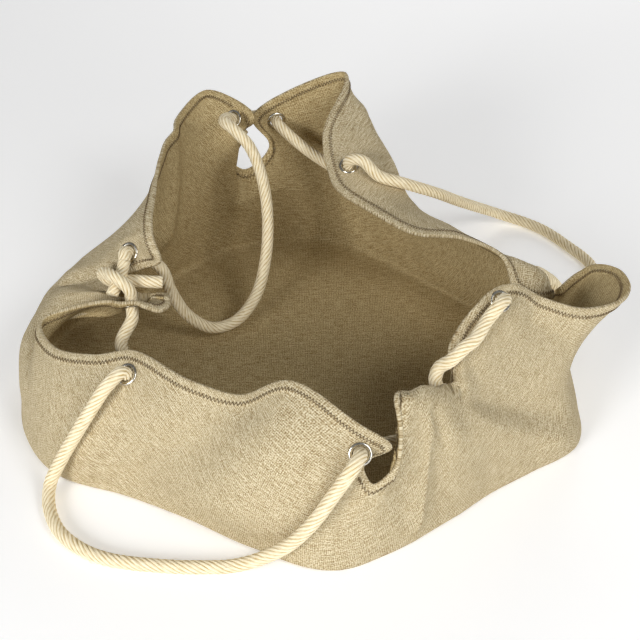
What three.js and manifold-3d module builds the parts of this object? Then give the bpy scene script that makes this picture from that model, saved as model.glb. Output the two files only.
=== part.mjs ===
// Log bag: one sheet of heavy jute canvas gathered into an open bag by a rope through ten eyelets.
// Millimetres, +Z up. The bag rests on z = 0, and X runs along its longest way.
import * as THREE from 'three';
import { mergeVertices } from 'three/addons/utils/BufferGeometryUtils.js';
import Module from 'manifold-3d';

// Driving dimensions
const CANVAS_THICK = 2.5;
const HEM_THICK = 4.2;
const FOOT_ROUND = 5;
const SEAT_GAP = 0.3;
const EYELET_BORE = 6.6;
const EYELET_BARREL = 7.4;
const EYELET_FLANGE = 10;
const EYELET_RISE = 1.6;
const EYELET_SIDES = 12;
const SEAT_PAD = 12.2;
const ROPE_RADIUS = 6;
const ROPE_SIDES = 8;
const ROPE_STRAIGHT = 8;
const KNOT_STEPS = 2;

// Middle of the bag in the numbers of the tables below
const MIDDLE = new THREE.Vector3(-1.09, 0.48, 0);

// How finely the sheet is drawn
const ROW_STEPS = 6;
const SOLID_STRIDE = 3;
const HEM_SOFT = 9;
const HEM_REACH = 45;
const SLIVER = 0.15;

// Walls by direction: the foot on the floor and the belly above it
const WALL = [
  { azimuth: -87, foot: 256, belly: 250, height: 46 },
  { azimuth: -77, foot: 245, belly: 238, height: 66 },
  { azimuth: -69, foot: 237, belly: 202, height: 138 },
  { azimuth: -60, foot: 229, belly: 220, height: 68 },
  { azimuth: -48, foot: 226, belly: 214, height: 84 },
  { azimuth: -36, foot: 238, belly: 222, height: 84 },
  { azimuth: -23, foot: 261, belly: 247, height: 80 },
  { azimuth: -12, foot: 252, belly: 238, height: 80 },
  { azimuth: 0, foot: 243, belly: 232, height: 74 },
  { azimuth: 10, foot: 232, belly: 222, height: 66 },
  { azimuth: 22, foot: 208, belly: 182, height: 104 },
  { azimuth: 36, foot: 194, belly: 164, height: 113 },
  { azimuth: 50, foot: 192, belly: 153, height: 121 },
  { azimuth: 59, foot: 196, belly: 160, height: 131 },
  { azimuth: 67, foot: 203, belly: 180, height: 147 },
  { azimuth: 74, foot: 212, belly: 203, height: 164 },
  { azimuth: 80, foot: 221, belly: 232, height: 181 },
  { azimuth: 88, foot: 232, belly: 244, height: 118 },
  { azimuth: 98, foot: 238, belly: 242, height: 88 },
  { azimuth: 108, foot: 240, belly: 238, height: 54 },
  { azimuth: 118, foot: 236, belly: 236, height: 84 },
  { azimuth: 130, foot: 231, belly: 222, height: 92 },
  { azimuth: 144, foot: 232, belly: 206, height: 92 },
  { azimuth: 155, foot: 252, belly: 226, height: 98 },
  { azimuth: 166, foot: 270, belly: 244, height: 99 },
  { azimuth: 177, foot: 285, belly: 258, height: 92 },
  { azimuth: 188, foot: 290, belly: 274, height: 76 },
  { azimuth: 199, foot: 290, belly: 280, height: 54 },
  { azimuth: 210, foot: 279, belly: 273, height: 52 },
  { azimuth: 223, foot: 244, belly: 243, height: 56 },
  { azimuth: 240, foot: 228, belly: 230, height: 60 },
  { azimuth: 256, foot: 238, belly: 239, height: 62 },
];

// The edge of the sheet, in order round the mouth: the direction of the foot below it and the point itself.
// A row with a via point is pulled through it, where the cloth folds back on itself.
const RIM = [
  { place: 'front_notch_bottom', azimuth: -83, at: [43, -232, 82] },
  { place: 'front_notch_right', azimuth: -79, at: [60, -225, 96] },
  { place: 'front_flap_edge', azimuth: -75, at: [63, -212, 116] },
  { place: 'front_flap_top', azimuth: -71, at: [60, -190, 138] },
  { place: 'front_flap_fold', azimuth: -67, at: [87, -152, 104], via: [80, -181, 134] },
  { place: 'front_flap_valley', azimuth: -61, at: [110, -140, 97], via: [101, -172, 125] },
  { place: 'right_rise', azimuth: -54, at: [115, -126, 148] },
  { place: 'right_eyelet', azimuth: -46, at: [146, -86, 168] },
  { place: 'right_crest', azimuth: -40, at: [168, -74, 168] },
  { place: 'right_slope', azimuth: -33, at: [200, -76, 154] },
  { place: 'spout_front', azimuth: -25, at: [236, -74, 140] },
  { place: 'spout_tip_front', azimuth: -19, at: [272, -56, 134] },
  { place: 'spout_tip', azimuth: -14, at: [285, -28, 130] },
  { place: 'spout_tip_back', azimuth: -9, at: [280, 4, 127] },
  { place: 'spout_back', azimuth: -4, at: [258, 16, 124] },
  { place: 'spout_inner', azimuth: 2, at: [226, -6, 116] },
  { place: 'right_notch_front', azimuth: 5, at: [226, 10, 98] },
  { place: 'right_notch_bottom', azimuth: 9, at: [234, 30, 78] },
  { place: 'right_notch_back', azimuth: 12, at: [210, 15, 81], via: [219, 36, 96] },
  { place: 'right_notch_flap', azimuth: 16, at: [187, 19, 92], via: [200, 42, 106] },
  { place: 'back_flap_right', azimuth: 22, at: [176, 42, 114] },
  { place: 'back_flap_dip', azimuth: 36, at: [142, 66, 120] },
  { place: 'back_flap_low', azimuth: 46, at: [92, 66, 124] },
  { place: 'back_flap_front', azimuth: 54, at: [49, 95, 133] },
  { place: 'back_flap_corner', azimuth: 61, at: [17, 122, 139] },
  { place: 'back_eyelet_rim', azimuth: 67, at: [7, 150, 148] },
  { place: 'back_flap_edge', azimuth: 74, at: [3, 186, 168] },
  { place: 'back_corner', azimuth: 82, at: [27, 256, 200] },
  { place: 'back_top', azimuth: 90, at: [-20, 248, 190] },
  { place: 'back_notch_flap', azimuth: 97, at: [-72, 232, 160] },
  { place: 'back_notch_right', azimuth: 103, at: [-54, 234, 124] },
  { place: 'back_notch_bottom', azimuth: 107, at: [-82, 228, 99] },
  { place: 'back_notch_left', azimuth: 111, at: [-99, 229, 116] },
  { place: 'back_notch_lip', azimuth: 115, at: [-76, 214, 154] },
  { place: 'left_flap_end', azimuth: 119, at: [-68, 208, 177] },
  { place: 'left_flap_top', azimuth: 126, at: [-120, 250, 183] },
  { place: 'left_flap_side', azimuth: 134, at: [-148, 212, 173] },
  { place: 'left_flap_mid', azimuth: 144, at: [-160, 140, 168] },
  { place: 'left_flap_low', azimuth: 154, at: [-160, 80, 162] },
  { place: 'left_flap_front', azimuth: 160, at: [-157, 28, 150] },
  { place: 'left_flap_corner', azimuth: 164.5, at: [-150, 11, 131] },
  { place: 'left_notch_back', azimuth: 168, at: [-168, 16, 119] },
  { place: 'left_notch_bottom', azimuth: 171, at: [-195, 14, 106] },
  { place: 'left_notch_front', azimuth: 174, at: [-168, -4, 105], via: [-200, 3, 100] },
  { place: 'tongue_tip_back', azimuth: 177, at: [-144, -8, 108], via: [-184, -3, 101] },
  { place: 'tongue_tip', azimuth: 180, at: [-139, -28, 112], via: [-170, -8, 104] },
  { place: 'tongue_tip_front', azimuth: 182.5, at: [-148, -40, 112], via: [-176, -10, 99] },
  { place: 'lip_right', azimuth: 185, at: [-177, -31, 114], via: [-190, -14, 90] },
  { place: 'lip_middle', azimuth: 189, at: [-213, -28, 112], via: [-228, -12, 91] },
  { place: 'left_fold', azimuth: 198, at: [-256, -42, 104] },
  { place: 'left_mouth', azimuth: 207, at: [-238, -82, 104] },
  { place: 'front_left', azimuth: 217, at: [-196, -106, 114] },
  { place: 'front_eyelet', azimuth: 224, at: [-162, -114, 126] },
  { place: 'front_middle_left', azimuth: 236, at: [-109, -159, 130] },
  { place: 'front_middle', azimuth: 247, at: [-70, -176, 130] },
  { place: 'front_middle_right', azimuth: 256, at: [-24, -176, 144] },
  { place: 'front_right', azimuth: 264, at: [32, -213, 130] },
  { place: 'front_flap_tip', azimuth: 270, at: [58, -222, 114] },
  { place: 'front_notch_left', azimuth: 274, at: [36, -224, 98] },
];

// Eyelets: the rim row each is next to, how far on towards the following row, and how far below the edge
const EYELETS = [
  { node: 'eyelet_left_lip', place: 'lip_right', onward: -0.15, inset: 17 },
  { node: 'eyelet_front_left', place: 'front_eyelet', onward: 0, inset: 22 },
  { node: 'eyelet_front_middle', place: 'front_right', onward: 0.5, inset: 22 },
  { node: 'eyelet_front_right', place: 'front_flap_fold', onward: 0.6, inset: 19 },
  { node: 'eyelet_right_top', place: 'right_eyelet', onward: 0.4, inset: 13 },
  { node: 'eyelet_right_back', place: 'right_notch_flap', onward: -0.5, inset: 55 },
  { node: 'eyelet_back_flap', place: 'back_eyelet_rim', onward: -0.2, inset: 22 },
  { node: 'eyelet_back_right', place: 'back_top', onward: 0.7, inset: 24 },
  { node: 'eyelet_back_left', place: 'left_flap_end', onward: 0.3, inset: 19 },
  { node: 'eyelet_left_flap', place: 'left_flap_front', onward: 1.3, inset: 34 },
];

// Rings of the solid sheet from foot to edge: stretch of the wall, share of that stretch, thickness
const RINGS = [
  { stretch: 'lower', share: 0.08, thick: CANVAS_THICK },
  { stretch: 'middle', share: 0, thick: CANVAS_THICK },
  { stretch: 'middle', share: 0.5, thick: CANVAS_THICK },
  { stretch: 'upper', share: 0, thick: CANVAS_THICK },
  { stretch: 'upper', share: 0.45, thick: CANVAS_THICK },
  { stretch: 'upper', share: 0.78, thick: HEM_THICK },
  { stretch: 'upper', share: 1, thick: HEM_THICK },
];

// The rope from eyelet to eyelet: which way it goes through each, then the points it lies on after it
const ROPE_ROUTE = [
  { node: 'eyelet_left_lip', inward: true, then: [[-184, -48, 82], [-172, -82, 84], [-161, -108, 94]] },
  {
    node: 'eyelet_front_left',
    inward: false,
    then: [
      [-181, -146, 114], [-197, -154, 92], [-213, -157, 65], [-228, -159, 38], [-240, -164, 13],
      [-238, -186, 6.2], [-222, -218, 6.2], [-188, -243, 6.2], [-130, -254, 6.2], [-72, -255, 8],
      [-32, -256, 29], [-8, -257, 58], [14, -248, 90], [26, -246, 112],
    ],
  },
  {
    node: 'eyelet_front_middle',
    inward: true,
    then: [[36, -201, 92], [60, -188, 86], [90, -180, 89], [107, -172, 98]],
  },
  {
    node: 'eyelet_front_right',
    inward: false,
    then: [
      [101, -139, 126], [111, -140, 136], [122, -136, 146.5], [131, -130, 150.5], [143, -114, 160],
      [153, -106, 169],
    ],
  },
  {
    node: 'eyelet_right_top',
    inward: true,
    then: [[150, -66, 138], [158, -36, 112], [168, 0, 88], [184, 28, 75]],
  },
  {
    node: 'eyelet_right_back',
    inward: false,
    then: [
      [230, 72, 66], [250, 92, 34], [272, 116, 9], [294, 146, 6.2], [297, 178, 6.2],
      [278, 214, 6.2], [244, 256, 6.2], [206, 268, 14], [152, 208, 70], [122, 162, 110],
      [84, 136, 139], [58, 132, 150.5], [42, 139, 163.5],
    ],
  },
  { node: 'eyelet_back_flap', inward: true, then: [[26, 172, 128], [4, 196, 128], [-20, 212, 138]] },
  { node: 'eyelet_back_right', inward: false, then: [[-66, 254, 150], [-84, 246, 152]] },
  {
    node: 'eyelet_back_left',
    inward: true,
    then: [
      [-98, 192, 178], [-88, 178, 177], [-72, 168, 163], [-60, 156, 136], [-54, 138, 100],
      [-56, 114, 62], [-66, 90, 32], [-86, 68, 16], [-110, 54, 18], [-132, 46, 40],
      [-146, 42, 72], [-155, 40, 104],
    ],
  },
  { node: 'eyelet_left_flap', inward: false, then: [[-184.5, 16, 127.5]] },
];

// The knot: the band goes on from the first end of the rope, round the strand that goes on from its last end
const KNOT_BAND = [
  [-178, -14, 117.5], [-189, -9, 126], [-200, 3, 123], [-205, 9, 118], [-199, 5, 114],
  [-187, 4, 114], [-171, 2, 115], [-158, 0, 115.5], [-148, 1, 114.5],
];
const KNOT_STRAND = [[-186, 9, 123], [-188, 0, 119.5], [-192, -10, 114], [-194, -15, 111]];

const { degToRad, euclideanModulo } = THREE.MathUtils;
const wasm = await Module();
wasm.setup();

// Smooth step between two values with given slopes
function hermite(p, q, slopeP, slopeQ, t) {
  const t2 = t * t;
  const t3 = t2 * t;
  return (2 * t3 - 3 * t2 + 1) * p + (t3 - 2 * t2 + t) * slopeP + (3 * t2 - 2 * t3) * q + (t3 - t2) * slopeQ;
}

function hermitePoint(p, q, slopeP, slopeQ, t) {
  const axis = (name) => hermite(p[name], q[name], slopeP[name], slopeQ[name], t);
  return new THREE.Vector3(axis('x'), axis('y'), axis('z'));
}

// A closed smooth curve through rows of numbers at the given knots
function closedCurve(knots, rows, period) {
  const count = knots.length;
  const gap = (i) => (i + 1 < count ? knots[i + 1] : knots[0] + period) - knots[i];
  const rise = (i, c) => (rows[(i + 1) % count][c] - rows[i][c]) / gap(i);
  const slope = (i, c) => {
    const before = (i + count - 1) % count;
    return (rise(before, c) * gap(i) + rise(i, c) * gap(before)) / (gap(i) + gap(before));
  };
  return (x) => {
    const at = knots[0] + euclideanModulo(x - knots[0], period);
    const i = knots.findLastIndex((knot) => knot <= at);
    const j = (i + 1) % count;
    const t = (at - knots[i]) / gap(i);
    const between = (value, c) => hermite(value, rows[j][c], slope(i, c) * gap(i), slope(j, c) * gap(i), t);
    return rows[i].map(between);
  };
}

// Direction of a smooth line at its middle point
function directionAt(before, at, after) {
  const back = at.clone().sub(before);
  const ahead = after.clone().sub(at);
  const ratio = ahead.length() / back.length();
  return back.multiplyScalar(ratio).add(ahead.divideScalar(ratio)).normalize();
}

const wallAt = closedCurve(
  WALL.map((row) => row.azimuth),
  WALL.map((row) => [row.foot, row.belly, row.height]),
  360,
);

// Foot and belly points of the wall in one direction
function wallPoints(azimuth) {
  const [foot, belly, height] = wallAt(azimuth);
  const angle = degToRad(azimuth);
  const along = (radius, z) => new THREE.Vector3(radius * Math.cos(angle), radius * Math.sin(angle), z);
  return { foot: along(foot, 0), belly: along(belly, height) };
}

// Point between belly and edge of a rim row
function viaPoint(row) {
  if (row.via) {
    return new THREE.Vector3(...row.via);
  }
  const { foot, belly } = wallPoints(row.azimuth);
  const rim = new THREE.Vector3(...row.at);
  const length = rim.distanceTo(belly);
  const leave = directionAt(foot, belly, rim);
  const arrive = rim.clone().sub(belly).multiplyScalar(2 / length).sub(leave).normalize();
  return hermitePoint(belly, rim, leave.multiplyScalar(length), arrive.multiplyScalar(length), 0.5);
}

// Vertical sections of the sheet, evenly spread between the rim rows
function sheetSections() {
  const rims = RIM.map((row) => new THREE.Vector3(...row.at));
  const knots = [0];
  rims.forEach((rim, i) => knots.push(knots[i] + Math.sqrt(rim.distanceTo(rims[(i + 1) % rims.length]))));
  const total = knots.pop();
  const edge = closedCurve(knots, RIM.map((row) => [...row.at, ...viaPoint(row).toArray()]), total);
  const drift = RIM.map((row, i) => row.azimuth - (360 * knots[i]) / total);
  const sections = [];
  for (let i = 0; i < RIM.length; i += 1) {
    const next = (i + 1) % RIM.length;
    for (let step = 0; step < ROW_STEPS; step += 1) {
      const share = step / ROW_STEPS;
      const at = knots[i] + share * ((knots[i + 1] ?? total) - knots[i]);
      const values = edge(at);
      const azimuth = (360 * at) / total + drift[i] + share * (drift[next] - drift[i]);
      const { foot, belly } = wallPoints(azimuth);
      const rim = new THREE.Vector3(...values.slice(0, 3));
      const via = new THREE.Vector3(...values.slice(3));
      sections.push({ foot: foot.setZ(CANVAS_THICK / 2), belly, via, rim });
    }
  }
  const neighbour = (i, by) => sections[(i + by + sections.length) % sections.length];
  sections.forEach((section, i) => {
    const along = neighbour(i, 1).via.clone().sub(neighbour(i, -1).via).normalize();
    const edgeWay = neighbour(i, 1).rim.clone().sub(neighbour(i, -1).rim).normalize();
    const outward = along.cross(section.rim.clone().sub(section.via)).normalize();
    section.square = outward.cross(edgeWay).normalize();
  });
  softenEnds(sections);
  return sections;
}

// The way the cloth meets its edge, averaged along the edge
function softenEnds(sections) {
  const count = sections.length;
  const steps = sections.map((section, i) => section.rim.distanceTo(sections[(i + 1) % count].rim));
  sections.forEach((section, i) => {
    const end = section.square.clone();
    for (const side of [1, -1]) {
      let away = 0;
      for (let j = i; away < 3 * HEM_SOFT; ) {
        away += side > 0 ? steps[j] : steps[(j + count - 1) % count];
        j = (j + side + count) % count;
        end.addScaledVector(sections[j].square, Math.exp(-0.5 * (away / HEM_SOFT) ** 2));
      }
    }
    section.end = end.normalize();
  });
}

// Point of a section in its lower, middle or upper stretch
function sectionPoint({ foot, belly, via, rim, end }, stretch, share) {
  const atBelly = directionAt(foot, belly, via);
  const atVia = directionAt(belly, via, rim);
  if (stretch === 'lower') {
    const rise = belly.clone().sub(foot);
    const reach = Math.min(rise.length(), 1.5 * via.distanceTo(belly));
    return hermitePoint(foot, belly, rise.multiplyScalar(0.9), atBelly.multiplyScalar(reach), share);
  }
  if (stretch === 'middle') {
    const length = via.distanceTo(belly);
    return hermitePoint(belly, via, atBelly.multiplyScalar(length), atVia.multiplyScalar(length), share);
  }
  const length = rim.distanceTo(via);
  const reach = end.clone().multiplyScalar(Math.min(length, HEM_REACH));
  return hermitePoint(via, rim, atVia.multiplyScalar(length), reach, share);
}

const sections = sheetSections();

// Outward direction of the sheet between neighbouring points
function outwardAt(before, after, below, above) {
  const along = after.clone().sub(before);
  return along.cross(above.clone().sub(below)).normalize();
}

// Solid of the sheet: floor and wall with an inner and an outer face, joined at the edge
function sheetSolid() {
  const columns = sections.filter((section, i) => i % SOLID_STRIDE === 0);
  const count = columns.length;
  const pullIn = ({ foot }) => foot.clone().setLength(foot.length() - FOOT_ROUND).setZ(foot.z);
  const floorEdge = columns.map(pullIn);
  const ringAt = ({ stretch, share }) => columns.map((column) => sectionPoint(column, stretch, share));
  const rings = RINGS.map(ringAt);
  const outer = [];
  const inner = [];
  const addPair = (point, outward, thick) => {
    outer.push(point.clone().addScaledVector(outward, thick / 2));
    inner.push(point.clone().addScaledVector(outward, -thick / 2));
  };
  const down = new THREE.Vector3(0, 0, -1);
  addPair(new THREE.Vector3(0, 0, CANVAS_THICK / 2), down, CANVAS_THICK);
  floorEdge.forEach((point) => addPair(point, down, CANVAS_THICK));
  rings.forEach((ring, r) => {
    const below = rings[r - 1] ?? floorEdge;
    const above = rings[r + 1] ?? ring;
    ring.forEach((point, c) => {
      const outward = outwardAt(ring[(c + count - 1) % count], ring[(c + 1) % count], below[c], above[c]);
      addPair(point, outward, RINGS[r].thick);
    });
  });
  const triangles = [];
  const flip = outer.length;
  const addBoth = (a, b, c) => triangles.push(a, b, c, a + flip, c + flip, b + flip);
  for (let c = 0; c < count; c += 1) {
    const d = (c + 1) % count;
    addBoth(0, 1 + d, 1 + c);
    for (let r = 0; r < rings.length; r += 1) {
      const low = 1 + r * count;
      addBoth(low + c, low + d, low + count + d);
      addBoth(low + c, low + count + d, low + count + c);
    }
    const top = 1 + rings.length * count;
    triangles.push(top + c, top + d, top + d + flip, top + c, top + d + flip, top + c + flip);
  }
  const points = [...outer, ...inner].flatMap((point) => point.toArray());
  return solidOf(points, triangles);
}

function solidOf(points, triangles) {
  const mesh = new wasm.Mesh({
    numProp: 3,
    vertProperties: new Float32Array(points),
    triVerts: new Uint32Array(triangles),
  });
  return new wasm.Manifold(mesh);
}

// Closed solid of a three.js shape
function solidFrom(geometry) {
  const bare = new THREE.BufferGeometry();
  const loose = geometry.index ? geometry.toNonIndexed() : geometry;
  bare.setAttribute('position', loose.getAttribute('position'));
  const merged = mergeVertices(bare, 1e-3);
  return solidOf(merged.getAttribute('position').array, merged.index.array);
}

function geometryOf(solid) {
  const mesh = solid.getMesh();
  const geometry = new THREE.BufferGeometry();
  const points = [];
  for (let i = 0; i < mesh.numVert; i += 1) {
    points.push(...mesh.vertProperties.subarray(i * mesh.numProp, i * mesh.numProp + 3));
  }
  geometry.setAttribute('position', new THREE.Float32BufferAttribute(points, 3));
  geometry.setIndex([...mesh.triVerts]);
  geometry.computeVertexNormals();
  return geometry;
}

// Centre and outward direction of an eyelet, found by walking down from the edge
function eyeletFrame({ place, onward, inset }) {
  const row = RIM.findIndex((entry) => entry.place === place);
  const count = sections.length;
  const column = (Math.round(ROW_STEPS * (row + onward)) + count) % count;
  const section = sections[column];
  const share = (stretch, i) => sectionPoint(section, stretch, i / 20);
  const line = [...Array(20).keys()].map((i) => share('upper', 20 - i));
  line.push(...[...Array(20).keys()].map((i) => share('middle', 20 - i)));
  let walked = 0;
  let i = 0;
  while (walked + line[i].distanceTo(line[i + 1]) < inset) {
    walked += line[i].distanceTo(line[i + 1]);
    i += 1;
  }
  const part = (inset - walked) / line[i].distanceTo(line[i + 1]);
  const centre = line[i].clone().lerp(line[i + 1], part);
  const stretch = i < 20 ? 'upper' : 'middle';
  const height = (20 - (i % 20) - part) / 20;
  const before = sectionPoint(sections[(column + count - 1) % count], stretch, height);
  const after = sectionPoint(sections[(column + 1) % count], stretch, height);
  return { centre, outward: outwardAt(before, after, line[i + 1], line[i]) };
}

const frames = new Map(EYELETS.map((eyelet) => [eyelet.node, eyeletFrame(eyelet)]));

// Moves a shape that stands along Y at the origin onto an eyelet
function placeOn(geometry, { centre, outward }) {
  const turn = new THREE.Quaternion().setFromUnitVectors(new THREE.Vector3(0, 1, 0), outward);
  return geometry.applyQuaternion(turn).translate(centre.x, centre.y, centre.z);
}

// A disc or cylinder standing on an eyelet, from one height to another
function discOn(frame, radius, low, high, sides) {
  const disc = new THREE.CylinderGeometry(radius, radius, high - low, sides);
  return solidFrom(placeOn(disc.translate(0, (low + high) / 2, 0), frame));
}

// Canvas with a flat seat and a hole at every eyelet
function canvasSolid() {
  let solid = sheetSolid();
  const face = CANVAS_THICK / 2;
  const clear = EYELET_RISE + 3;
  for (const frame of frames.values()) {
    solid = solid.add(discOn(frame, SEAT_PAD, -face, face, EYELET_SIDES));
    for (const [low, high] of [[face, face + clear], [-face - clear, -face]]) {
      solid = solid.subtract(discOn(frame, EYELET_FLANGE + SEAT_GAP, low, high, EYELET_SIDES));
    }
    solid = solid.subtract(discOn(frame, EYELET_BARREL + SEAT_GAP, -face - 1, face + 1, EYELET_SIDES));
  }
  return solid.simplify(SLIVER);
}

// Turned ring of an eyelet: barrel and two rolled flanges
function eyeletGeometry(frame) {
  const seat = CANVAS_THICK / 2 + SEAT_GAP;
  const rise = seat + EYELET_RISE;
  const half = [
    [EYELET_BARREL, seat],
    [EYELET_FLANGE, seat],
    [EYELET_FLANGE - 1, rise],
    [EYELET_BORE, rise],
  ];
  const profile = [...half, ...half.map(([r, y]) => [r, -y]).reverse()];
  profile.push(profile[0]);
  const ring = new THREE.LatheGeometry(profile.map(([r, y]) => new THREE.Vector2(r, y)), EYELET_SIDES);
  return placeOn(ring, frame);
}

// Path whose steps follow its own points, with a set direction at some of them
class RopePath extends THREE.CatmullRomCurve3 {
  constructor(points, ways) {
    super(points, false, 'centripetal');
    this.ways = ways;
  }

  getPointAt(u, target) {
    return this.getPoint(u, target);
  }

  getTangentAt(u, target) {
    const way = this.ways.get(Math.round(u * (this.points.length - 1)));
    return way ? way.clone() : this.getTangent(u, target);
  }
}

function ropeTube(points, ways, stepsEach) {
  const corner = (i) => (2 * Math.PI * i) / ROPE_SIDES;
  const outline = [...Array(ROPE_SIDES).keys()].map(
    (i) => new THREE.Vector2(ROPE_RADIUS * Math.cos(corner(i)), ROPE_RADIUS * Math.sin(corner(i))),
  );
  const extrudePath = new RopePath(points, ways);
  const steps = stepsEach * (points.length - 1);
  return new THREE.ExtrudeGeometry(new THREE.Shape(outline), { steps, extrudePath });
}

const vectors = (points) => points.map((point) => new THREE.Vector3(...point));

// Points of the rope in order, and its direction at those by the eyelets, where it runs straight
function ropeLine() {
  const points = [];
  const ways = new Map();
  for (const { node, inward, then } of ROPE_ROUTE) {
    const { centre, outward } = frames.get(node);
    const way = outward.clone().multiplyScalar(inward ? -1 : 1);
    for (const reach of [-ROPE_STRAIGHT, ROPE_STRAIGHT]) {
      ways.set(points.length, way);
      points.push(centre.clone().addScaledVector(way, reach));
    }
    points.push(...vectors(then));
  }
  const last = points.length - 1;
  ways.set(last, new THREE.Vector3(...KNOT_STRAND[0]).sub(points[last]).normalize());
  return { points, ways };
}

// The knot as one solid; each of its two ends starts a small gap beyond an end of the rope
function knotSolid({ points, ways }) {
  const last = points.length - 1;
  const goOn = (end, way, then) => {
    const start = end.clone().addScaledVector(way, SEAT_GAP);
    return solidFrom(ropeTube([start, ...vectors(then)], new Map([[0, way]]), KNOT_STEPS));
  };
  const band = goOn(points[0], ways.get(0).clone().negate(), KNOT_BAND);
  const strand = goOn(points[last], ways.get(last), KNOT_STRAND);
  return band.add(strand).simplify(SLIVER);
}

const jute = new THREE.MeshStandardMaterial({ name: 'jute_canvas', color: 0xb7a88c, roughness: 0.95 });
const ropeYarn = new THREE.MeshStandardMaterial({ name: 'jute_rope', color: 0xd8c6a0, roughness: 0.95 });
const nickel = new THREE.MeshStandardMaterial({
  name: 'nickel_plate',
  color: 0xc9c9c6,
  metalness: 1,
  roughness: 0.3,
});

const bag = new THREE.Group();
bag.name = 'log_bag';

function addPiece(name, geometry, material) {
  const mesh = new THREE.Mesh(geometry.translate(-MIDDLE.x, -MIDDLE.y, 0), material);
  mesh.name = name;
  bag.add(mesh);
}

const line = ropeLine();
addPiece('canvas_body', geometryOf(canvasSolid()), jute);
frames.forEach((frame, node) => addPiece(node, eyeletGeometry(frame), nickel));
addPiece('rope', ropeTube(line.points, line.ways, 1), ropeYarn);
addPiece('rope_knot', geometryOf(knotSolid(line)), ropeYarn);

export default bag;
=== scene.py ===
import math

import bpy
import numpy as np
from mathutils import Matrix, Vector, noise


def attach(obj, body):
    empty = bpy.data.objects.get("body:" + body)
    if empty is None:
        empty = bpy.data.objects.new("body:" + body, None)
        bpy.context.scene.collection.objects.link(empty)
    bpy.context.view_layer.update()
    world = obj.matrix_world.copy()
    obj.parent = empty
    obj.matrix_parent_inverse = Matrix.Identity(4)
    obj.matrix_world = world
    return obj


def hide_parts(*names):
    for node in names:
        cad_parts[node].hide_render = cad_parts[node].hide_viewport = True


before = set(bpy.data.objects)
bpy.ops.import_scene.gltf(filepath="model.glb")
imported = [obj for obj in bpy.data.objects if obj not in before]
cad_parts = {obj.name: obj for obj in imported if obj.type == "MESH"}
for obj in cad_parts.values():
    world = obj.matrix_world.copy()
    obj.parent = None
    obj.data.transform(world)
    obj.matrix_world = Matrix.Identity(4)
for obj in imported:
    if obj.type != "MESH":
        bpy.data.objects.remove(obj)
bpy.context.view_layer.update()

# Sizes are in millimetres up to the studio. Canvas and hem: thicknesses, how far the direction of the edge is
# evened out and reaches down, how steeply the wall leaves the foot and how hard the belly pulls it
CANVAS_THICK = 2.5
HEM_THICK = 4.2
HEM_SOFT = 9.0
HEM_REACH = 45.0
FOOT_SLOPE = 0.9
BELLY_PULL = 1.5

# Eyelets, and the flat seat that each has in the cloth
EYELET_BORE = 6.6
EYELET_BARREL = 7.4
EYELET_FLANGE = 10.0
EYELET_RISE = 1.6
EYELET_FOOT = CANVAS_THICK / 2 + 0.05
EYELET_SIDES = 48
SEAT_FLAT = 12.5
SEAT_EDGE = 21.0
SEAT_DEPTH = 12.0
HOLE_DEPTH = 6.0

# Rope: nine yarns that turn once round in each lay length
ROPE_RADIUS = 6.0
ROPE_STRAIGHT = 8.0
ROPE_LAY = 54.0
ROPE_YARNS = 9
ROPE_GROOVE = 0.75
YARN_POINTS = 4
YARN_ROUNDNESS = 0.6
ROPE_STEP = 2.6
KNOT_STEP = 1.8
ROPE_OFF_FLOOR = 0.15

# Loose fibres of the rope: how many, seed of their places, thickness, room and the ranges that they vary in
FIBRES = 420
FIBRE_SEED = 7
FIBRE_RADIUS = 0.13
FIBRE_SIDES = 3
FIBRE_ROOT = 0.6
FIBRE_CLEAR = 12.0
FIBRE_LOWEST = 1.0
FIBRE_BARE_ENDS = 4
FIBRE_LEAN = (0.3, 0.9)
FIBRE_LENGTH = (4.0, 9.0)
FIBRE_TURN = (0.0, 2 * np.pi)
FIBRE_CURL = (-0.5, 0.5)
FIBRE_DROOP = 0.6

# Zigzag stitching of the hem, and how one stitch bows: shares of its length and heights
STITCH_STEP = 3.2
STITCH_RADIUS = 0.32
STITCH_SIDES = 5
STITCH_PROUD = 0.35
STITCH_FROM_EDGE = (6.4, 9.7)
STITCH_OFF_EYELET = 0.6
STITCH_BOW = ((-0.06, 0.0), (0.5, 0.35), (1.06, 0.0))

# Patterns in the materials: their sizes, the slant of the rope's fibres in radians and how much paler the
# crowns of its yarns are than the grooves, which hold painted shade
THREAD_PITCH = 1.8
SLUB_LENGTH = 13.0
SPECK_SIZE = 1.3
CANVAS_RELIEF = 0.6
ROPE_FIBRE = (6.2, 0.9)
FIBRE_SLANT = 0.5
GROOVE_SHADE_SHARE = 0.35
ROPE_RELIEF = 0.8
NICKEL_SMEAR = 2.5
FIBRE_TONE = 6.0
THREAD_TONE = 4.0

# Shares of specks, thread domes and thread tones in the grain of the canvas, and the range of its colours
SPECK_SHARE = 1.6
DOME_SHARE = 0.4
WARP_SHARE = 0.4
WEFT_SHARE = 1.0
GRAIN_RANGE = (1.5, 2.52)

# The frame's origin in the numbers of the tables below: the middle of the canvas
MIDDLE = np.array([-1.09, 0.48, 0.0])

# A direction that the rope never runs along
ROPE_SIDE = np.array([0.2, 0.9, 0.4])

# A direction that no eyelet faces
EYELET_SIDE = np.array([0.3, 0.5, 0.81])

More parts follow.
